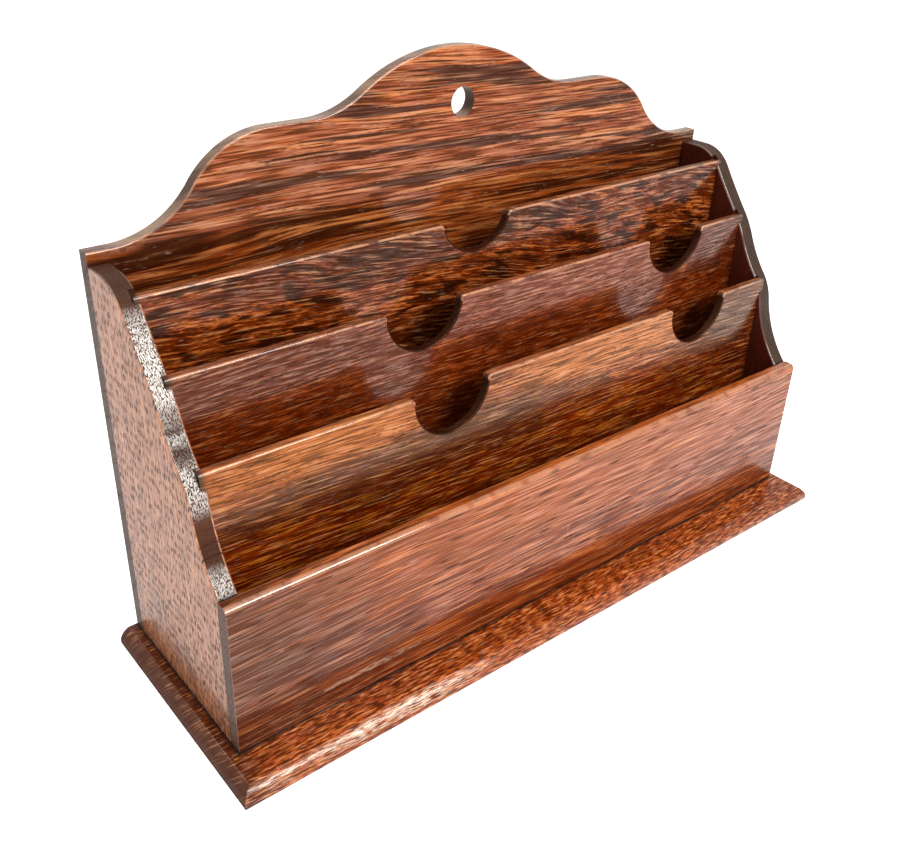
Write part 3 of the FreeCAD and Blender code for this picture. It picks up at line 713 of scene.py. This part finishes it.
class Pen:
    """Draws a board's outline by extruding and spinning its last point, then gives it thickness and arrises.

    The board is in edit mode until it is lifted.
    """

    def __init__(self, name: str, lie: Lie, face: float, across: float, up: float) -> None:
        """Lay down a plane, draw it together into one point and start the outline there.

        Args:
            name: The piece's name.
            lie: How the board lies.
            face: Where the outline lies along the axis through the board.
            across: The first point, along the axis across the outline.
            up: The first point, along the axis up the outline.
        """
        self.across, self.up, self.through = (AXES[letter] for letter in lie.value)
        self.face = self.through * face
        self.here = Vector((across, up))
        self.heading = Vector((1, 0))
        self.start = self.here.copy()
        bpy.ops.object.select_all(action="DESELECT")
        bpy.ops.mesh.primitive_plane_add(size=1.0, location=self.world(self.here))
        self.piece = bpy.context.active_object
        self.piece.name = self.piece.data.name = name
        self.edit()
        bpy.ops.mesh.select_mode(type="VERT")
        bpy.ops.mesh.select_all(action="SELECT")
        bpy.ops.mesh.merge(type="CENTER")

    def edit(self) -> None:
        """Go into edit mode."""
        bpy.context.view_layer.objects.active = self.piece
        bpy.ops.object.mode_set(mode="EDIT")

    def rest(self) -> None:
        """Go back into object mode."""
        bpy.ops.object.mode_set(mode="OBJECT")

    def world(self, point: Vector) -> Vector:
        """A point of the outline, in the rack's frame."""
        return self.across * point.x + self.up * point.y + self.face

    def push(self, way: Vector) -> None:
        """Extrude what is selected."""
        bpy.ops.mesh.extrude_region_move(TRANSFORM_OT_translate={"value": way})

    def line(self, across: float, up: float) -> "Pen":
        """Draw straight to a point."""
        there = Vector((across, up))
        self.push(self.world(there) - self.world(self.here))
        self.heading = (there - self.here).normalized()
        self.here = there
        return self

    def arc(self, across: float, up: float) -> "Pen":
        """Draw an arc to a point that leaves the last stretch smoothly.

        Args:
            across: The end, along the axis across the outline.
            up: The end, along the axis up the outline.

        Returns:
            The pen.
        """
        there = Vector((across, up))
        chord = there - self.here
        left = Vector((-self.heading.y, self.heading.x))
        radius = chord.length_squared / (2 * chord.dot(left))
        centre = self.here + left * radius
        sweep = 2 * math.atan2(chord.dot(left), chord.dot(self.heading))
        steps = max(ARC_STEPS, math.ceil(abs(radius * sweep) / ARC_CHORD), math.ceil(abs(sweep) / ARC_TURN))
        bpy.ops.mesh.spin(steps=steps, angle=-sweep, center=self.world(centre), axis=self.across.cross(self.up))
        self.heading = Matrix.Rotation(sweep, 2) @ self.heading
        self.here = there
        return self

    def close(self) -> None:
        """Draw back to the start and fill the outline."""
        self.line(*self.start)
        bpy.ops.mesh.select_all(action="SELECT")
        bpy.ops.mesh.remove_doubles(threshold=FINE)
        bpy.ops.mesh.edge_face_add()

    def board(self, thickness: float) -> None:
        """Close the outline and give it its thickness, towards the negative end of the axis through it."""
        self.close()
        self.push(self.through * -thickness)
        self.settle()

    def settle(self) -> None:
        """Merge doubles and turn all faces outwards."""
        bpy.ops.mesh.select_all(action="SELECT")
        bpy.ops.mesh.remove_doubles(threshold=FINE)
        bpy.ops.mesh.normals_make_consistent(inside=False)

    def pick(self, wanted: Callable[[Ends], bool]) -> int:
        """Select the edges that a test accepts.

        Args:
            wanted: Takes the two ends of an edge.

        Returns:
            How many were selected.
        """
        bpy.ops.mesh.select_mode(type="EDGE")
        bpy.ops.mesh.select_all(action="DESELECT")
        self.rest()
        mesh = self.piece.data
        found = 0
        for edge in mesh.edges:
            edge.select = wanted([mesh.vertices[i].co + self.piece.location for i in edge.vertices])
            found += edge.select
        self.edit()
        bpy.ops.mesh.select_mode(type="EDGE")
        return found

    def bevel(self, wanted: Callable[[Ends], bool], width: float, segments: int) -> None:
        """Round the edges that a test accepts, so wide and with so many faces."""
        if self.pick(wanted):
            bpy.ops.mesh.bevel(offset=width, offset_type="OFFSET", segments=segments, profile=0.5, clamp_overlap=True)

    def ease(self, axis: str, faces: Sequence[float], low: float, width: float, below: float = 0.0) -> None:
        """Round the arrises of some faces.

        Args:
            axis: The axis that the faces lie across.
            faces: Where they lie.
            low: The height from which the arrises are rounded.
            width: How far the rounding reaches.
            below: How far it reaches below that height, or 0 for none there.
        """
        self.bevel(lambda ends: flat_edge(ends, axis, faces) and all(end.z > low for end in ends), width, 3)
        if below:
            self.bevel(lambda ends: flat_edge(ends, axis, faces) and min(end.z for end in ends) < low, below, 2)

    def lift(self) -> bpy.types.Object:
        """Leave edit mode and put the piece's place into its mesh.

        Returns:
            The piece, its object at the origin.
        """
        self.settle()
        self.rest()
        select_only(self.piece)
        bpy.ops.object.transform_apply(location=True, rotation=True, scale=True)
        return self.piece


def carve(piece: bpy.types.Object, cutters: Iterable[bpy.types.Object]) -> None:
    """Cut pieces out of another and delete them.

    Args:
        piece: What is cut.
        cutters: The closed shapes that are taken away.
    """
    for cutter in cutters:
        select_only(piece)
        modifier = piece.modifiers.new("carve", "BOOLEAN")
        modifier.operation = "DIFFERENCE"
        modifier.solver = "EXACT"
        modifier.object = cutter
        bpy.ops.object.modifier_apply(modifier=modifier.name)
        bpy.data.objects.remove(cutter)


def block(low: Sequence[float], high: Sequence[float]) -> bpy.types.Object:
    """A plain block between two corners, used only to cut with.

    Args:
        low: The lowest corner.
        high: The highest corner.

    Returns:
        The block.
    """
    bpy.ops.object.select_all(action="DESELECT")
    middle = [(a + b) / 2 for a, b in zip(low, high)]
    bpy.ops.mesh.primitive_cube_add(size=1.0, location=middle, scale=[b - a for a, b in zip(low, high)])
    return bpy.context.active_object


def rod(middle: Vector, radius: float, length: float, turn: float = 0.0) -> bpy.types.Object:
    """A round cutter, upright unless it is turned about X.

    Args:
        middle: Where its middle is.
        radius: Its radius.
        length: How long it is.
        turn: How far it is turned.

    Returns:
        The cutter.
    """
    bpy.ops.object.select_all(action="DESELECT")
    bpy.ops.mesh.primitive_cylinder_add(vertices=BORE_SIDES, radius=radius, depth=length, location=middle,
                                        rotation=(turn, 0, 0))
    return bpy.context.active_object


def countersink(mouth: Vector, radius: float, head: float) -> bpy.types.Object:
    """A cutter for a screw's head, at 45 degrees and as far below the mouth as above it.

    Args:
        mouth: The middle of the mouth, with the hole above it.
        radius: The hole's radius.
        head: The mouth's radius.

    Returns:
        The cutter.
    """
    bpy.ops.object.select_all(action="DESELECT")
    run = head - radius
    bpy.ops.mesh.primitive_cone_add(vertices=BORE_SIDES, radius1=head + run, radius2=radius, depth=2 * run,
                                    location=mouth)
    return bpy.context.active_object


def dress(piece: bpy.types.Object, finish: Oak, lie: Lie, node: str) -> None:
    """Smooth a board, mark its end grain and arrises, give it its finish and seat it in the frame.

    Args:
        piece: The finished board.
        finish: Its wood, named as the record's slot is.
        lie: How it lies.
        node: The solid that it stands for.
    """
    select_only(piece)
    bpy.ops.object.shade_smooth_by_angle(angle=SMOOTH_ANGLE)
    modifier = piece.modifiers.new("faces", "WEIGHTED_NORMAL")
    modifier.keep_sharp = True
    modifier.weight = FACE_WEIGHT
    bpy.ops.object.modifier_apply(modifier=modifier.name)
    fibre = AXES[finish.grain.value[0]]
    through = AXES[lie.value[2]]
    layer = piece.data.color_attributes.new(CUT, "FLOAT_COLOR", "CORNER")
    for face in piece.data.polygons:
        flat = abs(face.normal.dot(through))
        mark = (abs(face.normal.dot(fibre)), float(EDGE_TILT < flat < FACE_TILT), float(flat <= EDGE_TILT), 1.0)
        for corner in face.loop_indices:
            layer.data[corner].color = mark
    piece.data.materials.clear()
    piece.data.materials.append(finish.build())
    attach(piece, "root")
    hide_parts(node)
    LOG.info("%s: %d faces", piece.name, len(piece.data.polygons))


# Sub-assemblies. Their sizes are in metres.

@dataclass
class BackBoard:
    """The tall board with the scrolled crest and the hanging hole."""

    end_top: float = 171.5 * MM
    end_level: float = 9 * MM
    scroll_run: float = 64 * MM
    scroll_rise: float = 32.5 * MM
    scroll_join_share: float = 0.5
    shoulder_level: float = 16 * MM
    dome_rise: float = 20.6 * MM
    dome_join_share: float = 0.36
    crest_ease: float = 0.6 * MM
    ease: float = 0.3 * MM
    hole_radius: float = 6 * MM
    hole_place: Pair = (5 * MM, 202.5 * MM)
    pin_radius: float = 0.8 * MM
    pin_heights: Pair = (32 * MM, 136.8 * MM)
    finish: Oak = BACK_OAK

    def build(self) -> None:
        """Cut out the board, round its arrises, drill it and dress it."""
        half = RACK.half
        foot = RACK.base_thickness
        outer = half - self.end_level
        inner = outer - self.scroll_run
        dome = inner - self.shoulder_level
        level = self.end_top + self.scroll_rise
        scroll = (outer - self.scroll_join_share * self.scroll_run,
                  self.end_top + self.scroll_join_share * self.scroll_rise)
        flank = (dome - self.dome_join_share * dome, level + self.dome_join_share * self.dome_rise)
        pen = Pen("back_board_oak", Lie.UPRIGHT, RACK.rear, -half, foot)
        pen.line(-half, self.end_top).line(-outer, self.end_top).arc(-scroll[0], scroll[1]).arc(-inner, level)
        pen.line(-dome, level).arc(-flank[0], flank[1]).arc(0, level + self.dome_rise)
        pen.arc(*flank).arc(dome, level).line(inner, level)
        pen.arc(*scroll).arc(outer, self.end_top).line(half, self.end_top).line(half, foot)
        pen.board(RACK.back_thickness)
        pen.ease("y", (RACK.rear, RACK.side_rear), self.end_top - FINE, self.crest_ease, self.ease)
        piece = pen.lift()
        pin_side = half - RACK.side_thickness / 2
        bores = [(*self.hole_place, self.hole_radius)]
        bores += [(sign * pin_side, height, self.pin_radius) for sign in (-1, 1) for height in self.pin_heights]
        carve(piece, [rod(Vector((x, RACK.rear, z)), radius, 4 * RACK.back_thickness, math.pi / 2)
                      for x, z, radius in bores])
        dress(piece, self.finish, Lie.UPRIGHT, "back_board")


@dataclass
class ScallopedSide:
    """One side, its front edge stepped down over the dividers, with housings on its inner face.

    The curve gives the end of each arc: millimetres forward of the rear edge, and the height.
    """

    name: str
    outer_face: float
    inner_sign: int
    finish: Oak
    shoulder_flat: float = 9 * MM
    curve: tuple[Pair, ...] = (
        (23.7, 159.1), (38.0, 140.1), (44.9, 129.1), (55.2, 113.2), (61.0, 101.5), (76.0, 73.0))
    scallop_ease: float = 0.8 * MM
    ease: float = 0.3 * MM
    housing_depth: float = 2.5 * MM
    housing_play: float = 0.1 * MM
    overrun: float = 1 * MM

    def build(self) -> None:
        """Cut out the side, ease its scalloped edge, cut the housings and dress it."""
        rear = RACK.side_rear
        inner = self.outer_face + self.inner_sign * RACK.side_thickness
        faces = (self.outer_face, inner)
        pen = Pen(self.name + "_oak", Lie.ENDWISE, max(faces), rear, RACK.base_thickness)
        pen.line(rear, RACK.side_top).line(rear - self.shoulder_flat, RACK.side_top)
        for forward, height in self.curve:
            pen.arc(rear - forward * MM, height * MM)
        pen.line(RACK.side_front, RACK.base_thickness).board(RACK.side_thickness)
        pen.ease("x", faces, RACK.front_top - FINE, self.scallop_ease, self.ease)
        piece = pen.lift()
        reach = RACK.divider_thickness / 2 + self.housing_play
        x = sorted((inner - self.inner_sign * self.housing_depth, inner + self.inner_sign * self.overrun))
        carve(piece, [block((x[0], place - reach, 0), (x[1], place + reach, RACK.side_top + self.overrun))
                      for place in RACK.divider_places])
        dress(piece, self.finish, Lie.ENDWISE, self.name)


@dataclass
class FrontBoard:
    """The low board across the front, its top arris well rounded."""

    round_radius: float = 2.4 * MM
    rear_ease: float = 0.8 * MM
    ease: float = 0.35 * MM
    eased_below: float = 3 * MM
    finish: Oak = FRONT_OAK

    def build(self) -> None:
        """Cut out the board, round it and dress it."""
        top, front, rear = (RACK.front_top,), (RACK.front_face,), (RACK.side_front,)
        low = RACK.front_top - self.eased_below
        pen = Pen("front_board_oak", Lie.UPRIGHT, RACK.side_front, -RACK.half, RACK.base_thickness)
        pen.line(-RACK.half, RACK.front_top).line(RACK.half, RACK.front_top).line(RACK.half, RACK.base_thickness)
        pen.board(RACK.front_thickness)
        pen.bevel(lambda ends: flat_edge(ends, "z", top) and flat_edge(ends, "y", front), self.round_radius, 6)
        pen.bevel(lambda ends: flat_edge(ends, "z", top) and flat_edge(ends, "y", rear), self.rear_ease, 3)
        pen.bevel(lambda ends: flat_edge(ends, "y", front) and min(end.z for end in ends) < low, self.ease, 2)
        dress(pen.lift(), self.finish, Lie.UPRIGHT, "front_board")


@dataclass
class Divider:
    """One divider, with round finger notches along its top."""

    name: str
    place: float
    top: float
    finish: Oak
    notches: tuple[float, ...]
    depth: float
    radius: float = 18 * MM
    lip: float = RACK.notch_lip
    ease: float = 0.7 * MM

    def notch(self, pen: Pen, place: float) -> None:
        """Draw one notch, from its left lip to its right one.

        Args:
            pen: The pen, on the top edge left of the notch.
            place: The notch's centre.
        """
        heart = self.top - self.depth + self.radius
        lip_heart = self.top - self.lip
        if lip_heart > heart:
            reach = self.radius + self.lip
            pen.line(place - reach, self.top).arc(place - self.radius, lip_heart).line(place - self.radius, heart)
            pen.arc(place, self.top - self.depth).arc(place + self.radius, heart)
            pen.line(place + self.radius, lip_heart).arc(place + reach, self.top)
            return
        reach = math.sqrt((self.radius + self.lip) ** 2 - (heart - lip_heart) ** 2)
        share = self.radius / (self.radius + self.lip)
        across = reach * share
        up = heart + (lip_heart - heart) * share
        pen.line(place - reach, self.top).arc(place - across, up).arc(place, self.top - self.depth)
        pen.arc(place + across, up).arc(place + reach, self.top)

    def build(self) -> None:
        """Cut out the divider, ease its top and notches and dress it."""
        half = RACK.divider_reach / 2
        rear = self.place + RACK.divider_thickness / 2
        pen = Pen(self.name + "_oak", Lie.UPRIGHT, rear, -half, RACK.base_thickness)
        pen.line(-half, self.top)
        for place in self.notches:
            self.notch(pen, place)
        pen.line(half, self.top).line(half, RACK.base_thickness).board(RACK.divider_thickness)
        pen.ease("y", (rear, rear - RACK.divider_thickness), self.top - self.depth - FINE, self.ease)
        dress(pen.lift(), self.finish, Lie.UPRIGHT, self.name)


@dataclass
class BaseBoard:
    """The base, its front and ends moulded with a crowned bevel over a square rim.

    The screws' places are in millimetres, for one half of the base.
    """

    half_length: float = 165 * MM
    front: float = -53 * MM
    mould_run: float = 4.2 * MM
    mould_fall: float = 4.5 * MM
    mould_radius: float = 8.0 * MM
    mould_steps: int = 8
    ease: float = 0.25 * MM
    screw_radius: float = 1.3 * MM
    head_radius: float = 2.8 * MM
    screws: tuple[Pair, ...] = ((153, 35), (153, -17), (87, 50))
    finish: Oak = BASE_OAK

    def spread(self, half: float, front: float, drop: float) -> None:
        """Extrude the rim down and move it out to a new outline, square at the rear.

        Args:
            half: Half the new length.
            front: The new front.
            drop: How far down it goes.
        """
        wide = half / self.half_now
        deep = (RACK.rear - front) / (RACK.rear - self.front_now)
        bpy.ops.mesh.extrude_region_move(TRANSFORM_OT_translate={"value": (0, 0, -drop)})
        bpy.ops.transform.resize(value=(wide, deep, 1), center_override=(0, RACK.rear, 0))
        self.half_now, self.front_now = half, front

    def mould(self) -> None:
        """Take the rim down in short steps along the crown of the bevel."""
        slope = math.atan2(self.mould_fall, self.mould_run)
        swing = math.asin(math.hypot(self.mould_run, self.mould_fall) / 2 / self.mould_radius)
        turns = [slope + swing * (2 * step / self.mould_steps - 1) for step in range(self.mould_steps + 1)]
        for before, after in zip(turns, turns[1:]):
            reach = self.mould_radius * (math.sin(after) - math.sin(before))
            drop = self.mould_radius * (math.cos(before) - math.cos(after))
            self.spread(self.half_now + reach, self.front_now - reach, drop)

    def build(self) -> None:
        """Mould the board, countersink it from below and dress it."""
        self.half_now = self.half_length - self.mould_run
        self.front_now = self.front + self.mould_run
        top = RACK.base_thickness
        pen = Pen("base_board_oak", Lie.FLAT, top, -self.half_now, self.front_now)
        pen.line(self.half_now, self.front_now).line(self.half_now, RACK.rear).line(-self.half_now, RACK.rear)
        pen.close()
        pen.pick(lambda ends: True)
        self.mould()
        self.spread(self.half_now, self.front_now, top - self.mould_fall)
        bpy.ops.mesh.edge_face_add()
        pen.settle()
        pen.bevel(lambda ends: flat_edge(ends, "z", (0.0, top)), self.ease, 2)
        piece = pen.lift()
        places = [Vector((sign * x * MM, y * MM, 0)) for x, y in self.screws for sign in (-1, 1)]
        for place in places:
            carve(piece, [rod(place, self.screw_radius, 4 * top),
                          countersink(place, self.screw_radius, self.head_radius)])
        dress(piece, self.finish, Lie.FLAT, "base_board")


@dataclass(frozen=True)
class Fixings:
    """The screws and the brads, which stay as the solids have them."""

    brass: Metal = Metal("old_brass", (0.46, 0.31, 0.12), (0.10, 0.065, 0.035))
    steel: Metal = Metal("old_steel", (0.30, 0.29, 0.28), (0.06, 0.045, 0.04))

    def dress(self) -> None:
        """Give each fixing its metal."""
        for node, finish in (("base_screws", self.brass), ("back_pins", self.steel)):
            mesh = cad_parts[node].data
            mesh.materials.clear()
            mesh.materials.append(finish.build())
            LOG.info("%s: dressed", node)


# The studio

@dataclass(frozen=True)
class Lamp:
    """One soft lamp, aimed at a point."""

    name: str
    place: Tone
    size: Pair
    power: float
    aim: Tone = (0.0, 0.0, 0.08)

    def hang(self) -> None:
        """Put the lamp in the scene."""
        data = bpy.data.lights.new(self.name, "AREA")
        data.shape = "RECTANGLE"
        data.size, data.size_y = self.size
        data.energy = self.power
        lamp = bpy.data.objects.new(self.name, data)
        lamp.location = self.place
        lamp.rotation_euler = (Vector(self.place) - Vector(self.aim)).to_track_quat("Z", "Y").to_euler()
        bpy.context.scene.collection.objects.link(lamp)


@dataclass(frozen=True)
class Studio:
    """The pale floor, the soft lamps, the white surroundings and the camera."""

    floor_size: float = 14.0
    floor_drop: float = 0.3 * MM
    paper: float = 0.86
    glow: float = 0.7
    ambient: float = 0.40
    eye: Tone = (-0.26646, -0.27682, 0.29394)
    right: Tone = (0.7886, -0.61445, 0.02376)
    above: Tone = (0.29195, 0.40814, 0.86498)
    behind: Tone = (-0.54118, -0.67518, 0.50124)
    focal_px: float = 1015.0
    centre_px: float = 431.08
    image_px: int = 917
    sensor: float = 36.0
    clip: Pair = (0.01, 100.0)
    lamps: tuple[Lamp, ...] = (
        Lamp("key", (0.26, -0.88, 0.79), (0.50, 0.44), 11.0),
        Lamp("top", (-0.25, -0.1, 1.35), (1.2, 1.2), 9.0),
        Lamp("left", (-1.1, 0.1, 0.55), (0.9, 0.8), 4.5),
    )

    def seen(self, tree: Tree) -> Wire:
        """1 for the rays that show the surroundings, which are the camera's, mirrored and passed-through ones."""
        rays = [tree.add("ShaderNodeLightPath", None, None, name)
                for name in ("Is Camera Ray", "Is Glossy Ray", "Is Transmission Ray")]
        return rays[0].most(rays[1]).most(rays[2])

    def surround(self) -> None:
        """Make the world white where it is seen, and a soft light elsewhere."""
        world = bpy.data.worlds.new("surroundings")
        bpy.context.scene.world = world
        world.use_nodes = True
        tree = Tree(world.node_tree)
        strength = self.seen(tree) * (1 - self.ambient) + self.ambient
        light = tree.add("ShaderNodeBackground", None, {"Color": (1, 1, 1, 1), "Strength": strength})
        tree.add("ShaderNodeOutputWorld", None, {"Surface": light})

    def lay_floor(self) -> None:
        """Lay the floor, which shows white but keeps the rack's shadow."""
        bpy.ops.object.select_all(action="DESELECT")
        bpy.ops.mesh.primitive_plane_add(size=self.floor_size, location=(0, 0, -self.floor_drop))
        floor = bpy.context.active_object
        floor.name = "floor"
        material, tree = new_material("pale_floor")
        paper = tree.add("ShaderNodeBsdfDiffuse", None, {"Color": (self.paper, self.paper, self.paper, 1)})
        glow = tree.add("ShaderNodeEmission", None, {"Color": (1, 1, 1, 1), "Strength": self.seen(tree) * self.glow})
        both = tree.add("ShaderNodeAddShader", None, {0: paper, 1: glow})
        tree.add("ShaderNodeOutputMaterial", None, {"Surface": both})
        floor.data.materials.append(material)

    def set_camera(self) -> None:
        """Put the camera where the photograph was taken from."""
        data = bpy.data.cameras.new("camera")
        data.sensor_width = self.sensor
        data.lens = self.focal_px / self.image_px * self.sensor
        data.shift_x = 0.5 - self.centre_px / self.image_px
        data.clip_start, data.clip_end = self.clip
        camera = bpy.data.objects.new("camera", data)
        turn = Matrix((self.right, self.above, self.behind)).transposed()
        camera.matrix_world = Matrix.Translation(self.eye) @ turn.to_4x4()
        bpy.context.scene.collection.objects.link(camera)
        bpy.context.scene.camera = camera

    def build(self) -> None:
        """Set up the studio."""
        self.surround()
        self.lay_floor()
        self.set_camera()
        for lamp in self.lamps:
            lamp.hang()
        bpy.context.scene.view_settings.view_transform = "Standard"


def dividers() -> list[Divider]:
    """The three dividers, from the rear one to the front one."""
    pair = (-44 * MM, 102.5 * MM)
    notches = (((-4 * MM,), 13.8 * MM), (pair, 18.2 * MM), (pair, 19.7 * MM))
    names = ("rear_divider", "middle_divider", "front_divider")
    return [Divider(name, place, top, finish, *cut) for name, place, top, finish, cut
            in zip(names, RACK.divider_places, RACK.divider_tops, DIVIDER_OAKS, notches)]


def main() -> None:
    """Build the rack round its frame, in the order that a maker would, and then the studio."""
    logging.basicConfig(level=logging.INFO, format="%(message)s")
    sides = [ScallopedSide("left_side", -RACK.half, 1, LEFT_OAK), ScallopedSide("right_side", RACK.half, -1, RIGHT_SHADED_OAK)]
    for part in [BaseBoard(), BackBoard(), *sides, FrontBoard(), *dividers()]:
        part.build()
    Fixings().dress()
    Studio().build()


if __name__ == "__main__":
    main()
